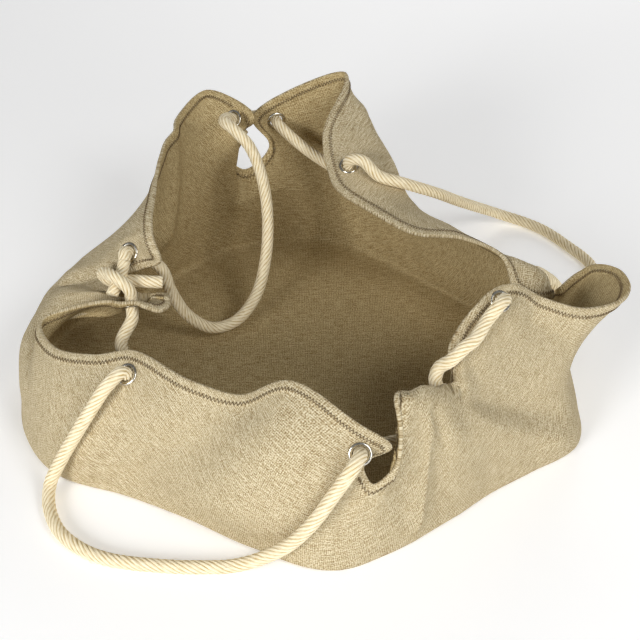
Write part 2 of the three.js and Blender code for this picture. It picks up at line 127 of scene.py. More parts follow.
# Walls by direction: azimuth in degrees, foot radius, belly radius, belly height
WALL = (
    (-87, 256, 250, 46),
    (-77, 245, 238, 66),
    (-69, 237, 202, 138),
    (-60, 229, 220, 68),
    (-48, 226, 214, 84),
    (-36, 238, 222, 84),
    (-23, 261, 247, 80),
    (-12, 252, 238, 80),
    (0, 243, 232, 74),
    (10, 232, 222, 66),
    (22, 208, 182, 104),
    (36, 194, 164, 113),
    (50, 192, 153, 121),
    (59, 196, 160, 131),
    (67, 203, 180, 147),
    (74, 212, 203, 164),
    (80, 221, 232, 181),
    (88, 232, 244, 118),
    (98, 238, 242, 88),
    (108, 240, 238, 54),
    (118, 236, 236, 84),
    (130, 231, 222, 92),
    (144, 232, 206, 92),
    (155, 252, 226, 98),
    (166, 270, 244, 99),
    (177, 285, 258, 92),
    (188, 290, 274, 76),
    (199, 290, 280, 54),
    (210, 279, 273, 52),
    (223, 244, 243, 56),
    (240, 228, 230, 60),
    (256, 238, 239, 62),
)

# The edge of the sheet, in order round the mouth: place, azimuth of the foot below it, point,
# and a point the cloth is pulled through where it folds back on itself
RIM = (
    ("front_notch_bottom", -83, (43, -232, 82), None),
    ("front_notch_right", -79, (60, -225, 96), None),
    ("front_flap_edge", -75, (63, -212, 116), None),
    ("front_flap_top", -71, (60, -190, 138), None),
    ("front_flap_fold", -67, (87, -152, 104), (80, -181, 134)),
    ("front_flap_valley", -61, (110, -140, 97), (101, -172, 125)),
    ("right_rise", -54, (115, -126, 148), None),
    ("right_eyelet", -46, (146, -86, 168), None),
    ("right_crest", -40, (168, -74, 168), None),
    ("right_slope", -33, (200, -76, 154), None),
    ("spout_front", -25, (236, -74, 140), None),
    ("spout_tip_front", -19, (272, -56, 134), None),
    ("spout_tip", -14, (285, -28, 130), None),
    ("spout_tip_back", -9, (280, 4, 127), None),
    ("spout_back", -4, (258, 16, 124), None),
    ("spout_inner", 2, (226, -6, 116), None),
    ("right_notch_front", 5, (226, 10, 98), None),
    ("right_notch_bottom", 9, (234, 30, 78), None),
    ("right_notch_back", 12, (210, 15, 81), (219, 36, 96)),
    ("right_notch_flap", 16, (187, 19, 92), (200, 42, 106)),
    ("back_flap_right", 22, (176, 42, 114), None),
    ("back_flap_dip", 36, (142, 66, 120), None),
    ("back_flap_low", 46, (92, 66, 124), None),
    ("back_flap_front", 54, (49, 95, 133), None),
    ("back_flap_corner", 61, (17, 122, 139), None),
    ("back_eyelet_rim", 67, (7, 150, 148), None),
    ("back_flap_edge", 74, (3, 186, 168), None),
    ("back_corner", 82, (27, 256, 200), None),
    ("back_top", 90, (-20, 248, 190), None),
    ("back_notch_flap", 97, (-72, 232, 160), None),
    ("back_notch_right", 103, (-54, 234, 124), None),
    ("back_notch_bottom", 107, (-82, 228, 99), None),
    ("back_notch_left", 111, (-99, 229, 116), None),
    ("back_notch_lip", 115, (-76, 214, 154), None),
    ("left_flap_end", 119, (-68, 208, 177), None),
    ("left_flap_top", 126, (-120, 250, 183), None),
    ("left_flap_side", 134, (-148, 212, 173), None),
    ("left_flap_mid", 144, (-160, 140, 168), None),
    ("left_flap_low", 154, (-160, 80, 162), None),
    ("left_flap_front", 160, (-157, 28, 150), None),
    ("left_flap_corner", 164.5, (-150, 11, 131), None),
    ("left_notch_back", 168, (-168, 16, 119), None),
    ("left_notch_bottom", 171, (-195, 14, 106), None),
    ("left_notch_front", 174, (-168, -4, 105), (-200, 3, 100)),
    ("tongue_tip_back", 177, (-144, -8, 108), (-184, -3, 101)),
    ("tongue_tip", 180, (-139, -28, 112), (-170, -8, 104)),
    ("tongue_tip_front", 182.5, (-148, -40, 112), (-176, -10, 99)),
    ("lip_right", 185, (-177, -31, 114), (-190, -14, 90)),
    ("lip_middle", 189, (-213, -28, 112), (-228, -12, 91)),
    ("left_fold", 198, (-256, -42, 104), None),
    ("left_mouth", 207, (-238, -82, 104), None),
    ("front_left", 217, (-196, -106, 114), None),
    ("front_eyelet", 224, (-162, -114, 126), None),
    ("front_middle_left", 236, (-109, -159, 130), None),
    ("front_middle", 247, (-70, -176, 130), None),
    ("front_middle_right", 256, (-24, -176, 144), None),
    ("front_right", 264, (32, -213, 130), None),
    ("front_flap_tip", 270, (58, -222, 114), None),
    ("front_notch_left", 274, (36, -224, 98), None),
)

# Eyelets: node, rim row next to it, how far on to the following row, how far below the edge
EYELETS = (
    ("eyelet_left_lip", "lip_right", -0.15, 17),
    ("eyelet_front_left", "front_eyelet", 0.0, 22),
    ("eyelet_front_middle", "front_right", 0.5, 22),
    ("eyelet_front_right", "front_flap_fold", 0.6, 19),
    ("eyelet_right_top", "right_eyelet", 0.4, 13),
    ("eyelet_right_back", "right_notch_flap", -0.5, 55),
    ("eyelet_back_flap", "back_eyelet_rim", -0.2, 22),
    ("eyelet_back_right", "back_top", 0.7, 24),
    ("eyelet_back_left", "left_flap_end", 0.3, 19),
    ("eyelet_left_flap", "left_flap_front", 1.3, 34),
)

# The rope from eyelet to eyelet: node, +1 from outside to inside or -1 back out, then the points it lies on
ROPE_ROUTE = (
    ("eyelet_left_lip", 1, ((-184, -48, 82), (-172, -82, 84), (-161, -108, 94))),
    ("eyelet_front_left", -1, (
        (-181, -146, 114), (-197, -154, 92), (-213, -157, 65), (-228, -159, 38), (-240, -164, 13),
        (-238, -186, 6.2), (-222, -218, 6.2), (-188, -243, 6.2), (-130, -254, 6.2), (-72, -255, 8),
        (-32, -256, 29), (-8, -257, 58), (14, -248, 90), (26, -246, 112),
    )),
    ("eyelet_front_middle", 1, ((36, -201, 92), (60, -188, 86), (90, -180, 89), (107, -172, 98))),
    ("eyelet_front_right", -1, (
        (101, -139, 126), (111, -140, 136), (122, -136, 146.5), (131, -130, 150.5), (143, -114, 160),
        (153, -106, 169),
    )),
    ("eyelet_right_top", 1, ((150, -66, 138), (158, -36, 112), (168, 0, 88), (184, 28, 75))),
    ("eyelet_right_back", -1, (
        (230, 72, 66), (250, 92, 34), (272, 116, 9), (294, 146, 6.2), (297, 178, 6.2), (278, 214, 6.2),
        (244, 256, 6.2), (206, 268, 14), (152, 208, 70), (122, 162, 110), (84, 136, 139), (58, 132, 150.5),
        (42, 139, 163.5),
    )),
    ("eyelet_back_flap", 1, ((26, 172, 128), (4, 196, 128), (-20, 212, 138))),
    ("eyelet_back_right", -1, ((-66, 254, 150), (-84, 246, 152))),
    ("eyelet_back_left", 1, (
        (-98, 192, 178), (-88, 178, 177), (-72, 168, 163), (-60, 156, 136), (-54, 138, 100), (-56, 114, 62),
        (-66, 90, 32), (-86, 68, 16), (-110, 54, 18), (-132, 46, 40), (-146, 42, 72), (-155, 40, 104),
    )),
    ("eyelet_left_flap", -1, ((-184.5, 16, 127.5),)),
)

# The knot: points of the band that goes on from the first end of the rope, round the strand from its last end
KNOT_BAND = (
    (-178, -14, 117.5), (-189, -9, 126), (-200, 3, 123), (-205, 9, 118), (-199, 5, 114), (-187, 4, 114),
    (-171, 2, 115), (-158, 0, 115.5), (-148, 1, 114.5),
)
KNOT_STRAND = ((-186, 9, 123), (-188, 0, 119.5), (-192, -10, 114), (-194, -15, 111))

# Rings of the cloth: shares of the way from the middle of the floor to the foot, number of even steps up the
# wall, and distances from the edge in the hem
FLOOR_RINGS = (0.06, 0.16, 0.28, 0.4, 0.52, 0.64, 0.75, 0.85, 0.92, 0.965)
WALL_RINGS = 44
HEM_RINGS = (0.0, 1.0, 4.5, 8.5, 9.8, 10.6, 12.0, 15.0, 18.5)

# Half thickness of the hem's rings from the wall up, worked out from distances from the edge and the half
# thicknesses there: rounded edge, doubled cloth, plain cloth
HEM_HALF = np.interp(
    HEM_RINGS[::-1],
    (0, 0.9, 9.4, 10.8),
    (0.3 * HEM_THICK, 0.5 * HEM_THICK, 0.5 * HEM_THICK, 0.5 * CANVAS_THICK),
)

# Columns between two rows of the edge and steps in each stretch of a section: for the cloth, and as in the
# solids for the eyelets
CLOTH_COLUMNS = 10
CLOTH_STEPS = 40
EYELET_COLUMNS = 6
EYELET_STEPS = 20

# Steps between two points of a fold and of the rope before they are spaced evenly
FOLD_STEPS = 12
ROPE_STEPS = 40

# Where folds fade out: distances from eyelets and rope, heights above the floor
EYELET_FADE = (20, 40)
ROPE_FADE = (9, 24)
FOOT_FADE = (4, 26)

# Every third point of the rope is enough to find what is near it
ROPE_SKIP = 3

# Folds pressed into the walls: crisp or soft, width to the left and to the right of its line as seen from
# outside, height outwards, points of the line
FOLDS = (
    ("crisp", 8, 36, 9.0, ((91, -180, 128), (89, -184, 119), (84, -202, 68), (79, -221, 15))),
    ("crisp", 13, 40, 8.0, (
        (128, -163, 99), (140, -158, 89), (156, -152, 74), (192, -132, 47), (216, -119, 30),
    )),
    ("crisp", 44, 12, -11.0, (
        (112, -167, 118), (139, -154, 98), (159, -144, 84), (194, -123, 60), (208, -115, 52),
    )),
    ("crisp", 30, 34, -9.0, ((168, -95, 152), (197, -95, 140), (224, -93, 118))),
    ("soft", 16, 16, -3.0, ((16, -243, 71), (10, -254, 14))),
    ("soft", 30, 30, -9.0, ((-70, -181, 122), (-109, -191, 91), (-157, -178, 40))),
    ("soft", 34, 34, 6.0, ((-20, -190, 110), (-60, -212, 70), (-110, -218, 36))),
    ("crisp", 7, 9, -7.0, ((-252, 26, 95), (-238, 23, 101), (-222, 22, 104), (-206, 20, 108))),
    ("soft", 9, 9, 2.2, ((-242, 8, 98), (-222, 6, 101), (-208, 4, 102))),
    ("soft", 12, 12, -2.4, ((-240, 52, 96), (-216, 46, 114), (-200, 44, 124))),
    ("soft", 13, 13, -7.0, ((-152, 186, 165), (-157, 160, 120), (-160, 133, 78))),
    ("crisp", 14, 20, -6.0, ((-93, 218, 62), (-50, 234, 72), (-11, 242, 66))),
    ("soft", 16, 16, 3.0, ((60, 122, 120), (76, 140, 80), (96, 160, 30))),
    ("soft", 18, 18, -3.0, ((40, 168, 150), (66, 182, 96), (80, 190, 40))),
)

# Shallow dents of the stiff cloth: size, height
DENTS = ((70, 2.4), (31, 0.8), (15, 0.25))


# Directions, distances and curves
def length(v):
    return np.linalg.norm(v, axis=-1)


def size(v):
    """Length of each direction, kept as a column."""
    return length(v)[..., None]


def unit(v):
    return v / np.maximum(size(v), 1e-9)


def smooth_step(value, low, high):
    share = np.clip((value - low) / (high - low), 0, 1)
    return share * share * (3 - 2 * share)


def circle(count):
    """Cosine and sine at even angles round a circle."""
    angle = 2 * np.pi * np.arange(count) / count
    return np.stack([np.cos(angle), np.sin(angle)], 1)


def hermite(p, q, slope_p, slope_q, t):
    return (
        (2 * t**3 - 3 * t**2 + 1) * p
        + (t**3 - 2 * t**2 + t) * slope_p
        + (3 * t**2 - 2 * t**3) * q
        + (t**3 - t**2) * slope_q
    )


def smooth_curve(knots, rows, x, period=None, ways=None):
    """Smooth curve through rows of numbers at knots, closed if it has a period; ways turn its slopes."""
    knots = np.asarray(knots, float)
    rows = np.asarray(rows, float)
    if period:
        knots = np.concatenate([[knots[-1] - period], knots, knots[:2] + period])
        rows = np.concatenate([rows[-1:], rows, rows[:2]])
    gap = np.diff(knots)[:, None]
    rise = np.diff(rows, axis=0) / gap
    slope = np.empty_like(rows)
    slope[1:-1] = (rise[:-1] * gap[1:] + rise[1:] * gap[:-1]) / (gap[1:] + gap[:-1])
    slope[0] = rise[0]
    slope[-1] = rise[-1]
    for i, way in (ways or {}).items():
        slope[i] = way * length(slope[i])
    if period:
        x = knots[1] + (x - knots[1]) % period
    i = np.clip(np.searchsorted(knots, x, side="right") - 1, 0, len(knots) - 2)
    t = ((x - knots[i]) / gap[i, 0])[:, None]
    return hermite(rows[i], rows[i + 1], slope[i] * gap[i], slope[i + 1] * gap[i], t)


def direction_at(before, at, after):
    back = at - before
    ahead = after - at
    return unit(unit(back) * size(ahead) + unit(ahead) * size(back))


def walked(line):
    """Distance from the first point along a line, or along several lines side by side."""
    step = length(np.diff(line, axis=0))
    return np.concatenate([np.zeros_like(step[:1]), np.cumsum(step, 0)])


def points_at(line, distance, wanted):
    """Points of a line at the wanted distances along it."""
    return np.stack([np.interp(wanted, distance, line[:, axis]) for axis in range(3)], -1)


# Sections of the bag from the foot up to the edge
def wall_points(azimuth):
    """Foot and belly points of the wall in each direction."""
    rows = np.array(WALL, float)
    foot, belly, height = smooth_curve(rows[:, 0], rows[:, 1:], azimuth, 360.0).T
    angle = np.radians(azimuth)
    flat = np.stack([np.cos(angle), np.sin(angle)], 1)
    low = np.full((len(azimuth), 1), CANVAS_THICK / 2)
    return np.hstack([flat * foot[:, None], low]), np.hstack([flat * belly[:, None], height[:, None]])


def soften(way, rim, width):
    """Average of a direction along the edge, weighted by a bell curve."""
    step = length(np.roll(rim, -1, 0) - rim)
    at = np.concatenate([[0], np.cumsum(step)[:-1]])
    total = step.sum()
    apart = (at[:, None] - at[None, :] + total / 2) % total - total / 2
    return unit((np.exp(-0.5 * (apart / width) ** 2) * step[None, :]) @ way)


def sections(per_row):
    """Foot, belly, via and rim points of the sections, the way each meets the edge, and their azimuths."""
    rims = np.array([row[2] for row in RIM], float)
    turns = np.array([row[1] for row in RIM], float)
    step = np.sqrt(length(np.roll(rims, -1, 0) - rims))
    knots = np.concatenate([[0], np.cumsum(step)])
    total = knots[-1]
    foot, belly = wall_points(turns)
    foot[:, 2] = 0
    leave = direction_at(foot, belly, rims)
    arrive = unit(2 * unit(rims - belly) - leave)
    vias = hermite(belly, rims, leave * size(rims - belly), arrive * size(rims - belly), 0.5)
    for i, row in enumerate(RIM):
        if row[3]:
            vias[i] = row[3]
    at = np.concatenate([knots[i] + step[i] * np.arange(per_row) / per_row for i in range(len(RIM))])
    both = smooth_curve(knots[:-1], np.hstack([rims, vias]), at, total)
    rim, via = both[:, :3], both[:, 3:]
    drift = turns - 360.0 * knots[:-1] / total
    azimuth = 360.0 * at / total + np.interp(at, knots, np.append(drift, drift[0]))
    foot, belly = wall_points(azimuth)
    edge_way = np.roll(rim, -1, 0) - np.roll(rim, 1, 0)
    along = np.roll(via, -1, 0) - np.roll(via, 1, 0)
    outward = unit(np.cross(along, rim - via))
    end = soften(unit(np.cross(outward, unit(edge_way))), rim, HEM_SOFT)
    return (foot, belly, via, rim, end), azimuth


def meridians(foot, belly, via, rim, end, steps):
    """Points of each section from foot to edge, in three stretches of so many steps."""
    at_belly = direction_at(foot, belly, via)
    at_via = direction_at(belly, via, rim)
    t = np.linspace(0, 1, steps + 1)[:, None, None]
    arrive = np.minimum(size(belly - foot), BELLY_PULL * size(via - belly))
    lower = hermite(foot, belly, (belly - foot) * FOOT_SLOPE, at_belly * arrive, t)
    middle = hermite(belly, via, at_belly * size(via - belly), at_via * size(via - belly), t)
    reach = end * np.minimum(size(rim - via), HEM_REACH)
    upper = hermite(via, rim, at_via * size(rim - via), reach, t)
    return np.concatenate([lower, middle[1:], upper[1:]])


def normals(grid):
    """Outward directions of a grid of rings, closed along the rings."""
    along = np.roll(grid, -1, 1) - np.roll(grid, 1, 1)
    up = np.gradient(grid, axis=0)
    return unit(np.cross(along, up))


def eyelet_frames():
    """Centre and outward direction of every eyelet, found by walking down from the edge."""
    profile, _ = sections(EYELET_COLUMNS)
    lines = meridians(*profile, EYELET_STEPS)
    out = normals(lines)
    names = [row[0] for row in RIM]
    found = {}
    for node, place, onward, inset in EYELETS:
        column = round(EYELET_COLUMNS * (names.index(place) + onward)) % lines.shape[1]
        line = lines[::-1, column]
        facing = out[::-1, column]
        distance = walked(line)
        at = np.interp(inset, distance, np.arange(len(line)))
        low = int(at)
        outward = unit(facing[low] + (at - low) * (facing[low + 1] - facing[low]))
        found[node] = points_at(line, distance, inset), outward
    return found


frames = eyelet_frames()


# Meshes
def to_frame(points):
    """Table millimetres as metres in the frame."""
    return ((np.asarray(points, float) - MIDDLE) / 1000).tolist()


def mesh_object(name, points, faces, uv=None):
    """Smooth mesh object from points in table millimetres."""
    mesh = bpy.data.meshes.new(name)
    mesh.from_pydata(to_frame(points), [], faces)
    mesh.shade_smooth()
    if uv is not None:
        layer = mesh.uv_layers.new(name="UVMap")
        corner = np.empty(len(mesh.loops), int)
        mesh.loops.foreach_get("vertex_index", corner)
        layer.data.foreach_set("uv", np.asarray(uv, float)[corner].ravel())
    mesh.update()
    obj = bpy.data.objects.new(name, mesh)
    bpy.context.scene.collection.objects.link(obj)
    return obj


def tube_faces(first, rings, sides, closed=False):
    """Side faces of a tube, whose rings of points follow each other; closed joins its two ends."""
    at = first + np.arange(rings * sides).reshape(rings, sides)
    across = np.roll(at, -1, 1)
    quads = np.stack([at, across, np.roll(across, -1, 0), np.roll(at, -1, 0)], 2)
    return quads[: rings if closed else rings - 1].reshape(-1, 4).tolist()


# The cloth
def cloth_grid():
    """Middle surface of the cloth as rings of points, from the floor up to the edge, and its flat pattern."""
    profile, azimuth = sections(CLOTH_COLUMNS)
    foot = profile[0]
    lines = meridians(*profile, CLOTH_STEPS)
    distance = walked(lines)
    whole = distance[-1]
    wall_shares = np.linspace(0, 1, WALL_RINGS + 1)[:, None]
    below_hem = wall_shares * (whole - HEM_RINGS[-1])
    hem = whole - np.array(HEM_RINGS[-2::-1])[:, None]
    wanted = np.concatenate([below_hem, hem])
    columns = range(lines.shape[1])
    wall = np.stack([points_at(lines[:, i], distance[:, i], wanted[:, i]) for i in columns], 1)
    floor_shares = np.array(FLOOR_RINGS)[:, None]
    floor = floor_shares[:, :, None] * (foot * [1, 1, 0]) + [0, 0, CANVAS_THICK / 2]
    radius = length(foot[:, :2])
    reach = np.concatenate([floor_shares * radius, radius + wanted])
    turn = np.radians(azimuth)
    spokes = np.stack([np.cos(turn), np.sin(turn)], 1)
    return np.concatenate([floor, wall]), reach[:, :, None] * spokes


def round_foot(grid):
    """Rounds the turn from floor to wall a little."""
    foot = len(FLOOR_RINGS)
    for _ in range(2):
        beside = grid[foot - 2 : foot + 1] + grid[foot : foot + 3]
        grid[foot - 1 : foot + 2] = 0.5 * grid[foot - 1 : foot + 2] + 0.25 * beside
    return grid


def nearest_to(grid, points):
    """For every point of the grid, the number of the nearest of some points and the way from that one."""
    number = np.argmin([length(grid - point) for point in points], axis=0)
    return number, grid - np.asarray(points)[number]


def press_folds(grid, rope_line):
    """Presses folds and shallow dents into the walls, clear of the eyelets, the rope and the foot."""
    outward = normals(grid)
    lift = np.zeros(grid.shape[:2])
    for kind, left, right, height, points in FOLDS:
        knots = np.arange(len(points))
        line = smooth_curve(knots, points, np.linspace(0, knots[-1], FOLD_STEPS * len(points)))
        way = unit(np.gradient(line, axis=0))
        number, offset = nearest_to(grid, line)
        side = (np.cross(outward, way[number]) * unit(offset)).sum(2)
        near = length(offset) / (0.5 * (left + right) + 0.5 * (left - right) * side)
        lift += height * np.exp(-near if kind == "crisp" else -near * near)
    for across, height in DENTS:
        lift += height * np.array([[noise.noise(Vector(point) / across) for point in ring] for ring in grid])
    _, offset = nearest_to(grid, [centre for centre, _ in frames.values()])
    lift *= smooth_step(length(offset), *EYELET_FADE)
    _, offset = nearest_to(grid, rope_line[::ROPE_SKIP])
    towards_rope = lift * (offset * outward).sum(2) < 0
    lift *= np.where(towards_rope, smooth_step(length(offset), *ROPE_FADE), 1)
    lift *= np.interp(grid[:, :, 2], FOOT_FADE, (0, 1))
    return grid + outward * lift[..., None]


def from_eyelet(grid, centre, outward):
    """Height of every point over an eyelet's plane, and the way to it along that plane."""
    away = grid - centre
    height = away @ outward
    return height, away - height[..., None] * outward


def seat_eyelets(grid):
    """Flattens the cloth under every eyelet."""
    for centre, outward in frames.values():
        height, flat = from_eyelet(grid, centre, outward)
        share = smooth_step(length(flat), SEAT_EDGE, SEAT_FLAT)
        share[np.abs(height) >= SEAT_DEPTH] = 0
        grid -= (share * height)[..., None] * outward
    return grid


def open_eyelets(grid):
    """Moves the points inside every eyelet out to its barrel, and says which points those are."""
    hole = np.zeros(grid.shape[:2], bool)
    for centre, outward in frames.values():
        height, flat = from_eyelet(grid, centre, outward)
        inside = (length(flat) < EYELET_BARREL) & (np.abs(height) < HOLE_DEPTH)
        hole |= inside
        grid[inside] += (unit(flat) * (EYELET_BARREL - size(flat)))[inside]
    return hole


def edges(face):
    return zip(face, face[1:] + face[:1])


def cloth_faces(hole, shift):
    """Faces of the closed sheet. Points 0 and shift are the middles of its outer and inner face, and the
    rings of each follow."""
    rings, columns = hole.shape
    at = 1 + np.arange(rings * columns).reshape(rings, columns)
    quads = np.array(tube_faces(1, rings, columns))
    gone = np.append(False, hole.ravel())[quads].all(1)
    kept = quads[~gone].tolist()
    faces = kept + [[a + shift for a in reversed(quad)] for quad in kept]
    used = {edge for quad in kept for edge in edges(quad)}
    for quad in quads[gone].tolist():
        faces += [[a, b, b + shift, a + shift] for a, b in edges(quad) if (b, a) in used]
    for a, b in edges(at[0].tolist()):
        faces += [[0, b, a], [shift, a + shift, b + shift]]
    faces += [[a, b, b + shift, a + shift] for a, b in edges(at[-1].tolist())]
    return faces


def cloth(rope_line):
    """The canvas as one closed sheet, then the points of its middle surface and their outward directions."""
    grid, pattern = cloth_grid()
    grid = seat_eyelets(press_folds(round_foot(grid), rope_line))
    out = normals(grid)
    out[: len(FLOOR_RINGS) - 1] = (0, 0, -1)
    half = np.full(len(grid), CANVAS_THICK / 2)
    half[-len(HEM_RINGS) :] = HEM_HALF
    hole = open_eyelets(grid)
    thick = out * half[:, None, None]
    outer = np.concatenate([[[0, 0, 0]], (grid + thick).reshape(-1, 3)])
    inner = np.concatenate([[[0, 0, CANVAS_THICK]], (grid - thick).reshape(-1, 3)])
    flat = np.concatenate([[[0, 0]], pattern.reshape(-1, 2)]) / 1000
    shift = len(outer)
    faces = cloth_faces(hole, shift)
    obj = mesh_object("canvas_sheet", np.concatenate([outer, inner]), faces, np.concatenate([flat, flat]))
    # Inner faces take the second material, the darker copy of the canvas with painted shade
    inner_shaded_faces = np.array([min(face) >= shift for face in faces], np.int32)
    obj.data.polygons.foreach_set("material_index", inner_shaded_faces)
    return obj, grid, out


# Hem stitching
def on_hem(values, ring, column):
    """Values of the hem's rings at places between its rings and columns."""
    low = ring.astype(int)
    left = column.astype(int)
    v = (ring - low)[:, None]
    u = (column - left)[:, None]
    high = np.minimum(low + 1, len(values) - 1)
    right = (left + 1) % values.shape[1]
    left = left % values.shape[1]
    lower = values[low, left] * (1 - u) + values[low, right] * u
    upper = values[high, left] * (1 - u) + values[high, right] * u
    return lower * (1 - v) + upper * v


def stitching(grid, out):
    """Zigzag thread along the hem on both faces, left out under the eyelets."""
    hem = len(HEM_RINGS)
    rim = grid[-1]
    distance = walked(np.concatenate([rim, rim[:1]]))
    count = 2 * round(distance[-1] / STITCH_STEP)
    column = np.interp(np.arange(count) * distance[-1] / count, distance, np.arange(len(distance)))
    from_edge = np.where(np.arange(count) % 2, *STITCH_FROM_EDGE)
    ring = np.interp(from_edge, HEM_RINGS, np.arange(hem)[::-1])
    line = on_hem(grid[-hem:], ring, column)
    normal = unit(on_hem(out[-hem:], ring, column))
    lift = np.interp(ring, np.arange(hem), HEM_HALF)[:, None] + STITCH_RADIUS * STITCH_PROUD
    covered = np.zeros(count, bool)
    for centre, _ in frames.values():
        covered |= length(line - centre) < EYELET_FLANGE + STITCH_OFF_EYELET
    section = STITCH_RADIUS * circle(STITCH_SIDES)
    last_ring = (len(STITCH_BOW) - 1) * STITCH_SIDES
    verts = []
    faces = []
    for side in (1, -1):
        path = line + normal * lift * side
        for i in range(count):
            j = (i + 1) % count
            if covered[i] or covered[j]:
                continue
            way = unit(path[j] - path[i])
            across = unit(np.cross(way, normal[i]))
            spokes = section @ np.array([across, np.cross(way, across)])
            first = len(verts)
            for share, bow in STITCH_BOW:
                verts.extend(path[i] + (path[j] - path[i]) * share + normal[i] * side * bow + spokes)
            faces += tube_faces(first, len(STITCH_BOW), STITCH_SIDES)
            faces.append([first + k for k in reversed(range(STITCH_SIDES))])
            faces.append([first + last_ring + k for k in range(STITCH_SIDES)])
    return mesh_object("hem_stitching", np.array(verts), faces)


# Eyelets
def eyelet(node):
    """Turned ring with rolled flanges on both faces of the cloth."""
    centre, outward = frames[node]
    upper = [
        (EYELET_BARREL - 0.1, EYELET_FOOT),
        (EYELET_FLANGE - 0.4, EYELET_FOOT),
        (EYELET_FLANGE, EYELET_FOOT + 0.4),
        (EYELET_FLANGE - 0.2, EYELET_FOOT + 1.0),
        (EYELET_FLANGE - 0.8, EYELET_FOOT + 1.5),
        (EYELET_FLANGE - 1.7, EYELET_FOOT + EYELET_RISE),
        (EYELET_FLANGE - 2.6, EYELET_FOOT + EYELET_RISE - 0.1),
        (EYELET_BORE + 0.4, EYELET_FOOT + 1.1),
        (EYELET_BORE, EYELET_FOOT + 0.2),
    ]
    profile = upper + [(radius, -height) for radius, height in reversed(upper)]
    side = unit(np.cross(outward, EYELET_SIDE))
    spokes = circle(EYELET_SIDES) @ np.array([side, np.cross(outward, side)])
    verts = np.concatenate([centre + radius * spokes + height * outward for radius, height in profile])
    faces = tube_faces(0, len(profile), EYELET_SIDES, closed=True)
    return mesh_object(node.replace("eyelet", "ring"), verts, faces)


# Rope
def rope_points():
    """Points of the rope in order, and the direction it has at those by the eyelets and at its last."""
    line = []
    ways = {}
    for node, inward, then in ROPE_ROUTE:
        centre, outward = frames[node]
        for side in (inward, -inward):
            ways[len(line)] = -inward * outward
            line.append(centre + outward * side * ROPE_STRAIGHT)
        line += [np.array(point, float) for point in then]
    ways[len(line) - 1] = unit(np.array(KNOT_STRAND[0]) - line[-1])
    return np.array(line), ways


def knot_points(line, ways, sides):
    """Points, first direction and first side of the band and of the strand of the knot."""
    last = len(line) - 1
    band = np.concatenate([line[:1], KNOT_BAND]), {0: -ways[0]}, sides[0]
    strand = np.concatenate([line[-1:], KNOT_STRAND]), {0: ways[last]}, sides[1]
    return band, strand


def even_line(points, ways, step):
    """Points at even steps along the smooth line through the given ones, and their distances along it."""
    knots = np.concatenate([[0], np.cumsum(np.sqrt(length(np.diff(points, axis=0))))])
    fine = smooth_curve(knots, points, np.linspace(0, knots[-1], ROPE_STEPS * len(points)), ways=ways)
    fine[:, 2] = np.maximum(fine[:, 2], ROPE_RADIUS + ROPE_OFF_FLOOR)
    distance = walked(fine)
    wanted = np.linspace(0, distance[-1], round(distance[-1] / step) + 1)
    return points_at(fine, distance, wanted), wanted


def laid_rope(name, lines, step):
    """Rope of fine yarns laid round each other, along one or more lines. Gives the piece and, for the first
    line, its even points, its length and the sides that a yarn has at its two ends."""
    sides = YARN_POINTS * ROPE_YARNS
    part = np.arange(sides) / sides
    crown = np.abs(np.sin(np.pi * ROPE_YARNS * part)) ** YARN_ROUNDNESS
    outline = (ROPE_RADIUS - ROPE_GROOVE * (1 - crown))[:, None]
    verts = []
    uv = []
    faces = []
    made = []
    first = 0
    for points, ways, side in lines:
        line, at = even_line(points, ways, step)
        way = unit(np.gradient(line, axis=0))
        yarn = []
        for i, spot in enumerate(line):
            side = unit(side - (side @ way[i]) * way[i])
            other = np.cross(way[i], side)
            turned = 2 * np.pi * (part + at[i] / ROPE_LAY)
            spokes = np.cos(turned)[:, None] * side + np.sin(turned)[:, None] * other
            yarn.append(spokes[0])
            verts.append(spot + outline * spokes)
            uv.append(np.stack([np.full(sides, at[i]), part * 2 * np.pi * ROPE_RADIUS], 1) / 1000)
        made.append((line, at[-1], (yarn[0], yarn[-1])))
        verts += [line[:1], line[-1:]]
        uv += [[[0, 0]], [[at[-1] / 1000, 0]]]
        tip = first + len(line) * sides
        last = tip - sides
        for a, b in edges(list(range(sides))):
            for row in range(first, last, sides):
                faces.append([row + a, row + b, row + sides + b, row + sides + a])
            faces += [[tip, first + b, first + a], [tip + 1, last + a, last + b]]
        first = tip + 2
    return mesh_object(name, np.concatenate(verts), faces, np.concatenate(uv)), *made[0]


def stray_fibres(line, cloth_points):
    """Short thin fibres that stand off the rope where it is clear of the cloth."""
    draw = np.random.default_rng(FIBRE_SEED)
    ranges = np.transpose([FIBRE_LEAN, FIBRE_LENGTH, FIBRE_TURN, FIBRE_CURL])
    section = FIBRE_RADIUS * circle(FIBRE_SIDES)
    way = unit(np.gradient(line, axis=0))
    verts = []
    faces = []
    for spot in draw.integers(FIBRE_BARE_ENDS, len(line) - FIBRE_BARE_ENDS, FIBRES):
        centre = line[spot]
        lean, reach, turn, curl = draw.uniform(*ranges)
        if np.min(length(cloth_points - centre)) < ROPE_RADIUS + FIBRE_CLEAR:
            continue
        side = unit(np.cross(way[spot], ROPE_SIDE))
        other = np.cross(way[spot], side)
        out = np.cos(turn) * side + np.sin(turn) * other
        across = np.cross(way[spot], out)
        root = centre + out * (ROPE_RADIUS - FIBRE_ROOT)
        middle = root + reach * 0.5 * unit(out * lean + way[spot])
        tip = middle + reach * 0.5 * unit(out * lean * FIBRE_DROOP + way[spot] + across * curl)
        if tip[2] < FIBRE_LOWEST:
            continue
        spokes = section @ np.array([out, across])
        first = len(verts)
        verts.extend([*(root + spokes), *(middle + spokes), tip])
        faces += tube_faces(first, 2, FIBRE_SIDES)
        end = len(verts) - 1
        faces += [[a, b, end] for a, b in edges(list(range(first + FIBRE_SIDES, end)))]
        faces.append([first + k for k in reversed(range(FIBRE_SIDES))])
    return mesh_object("rope_fibres", np.array(verts), faces)


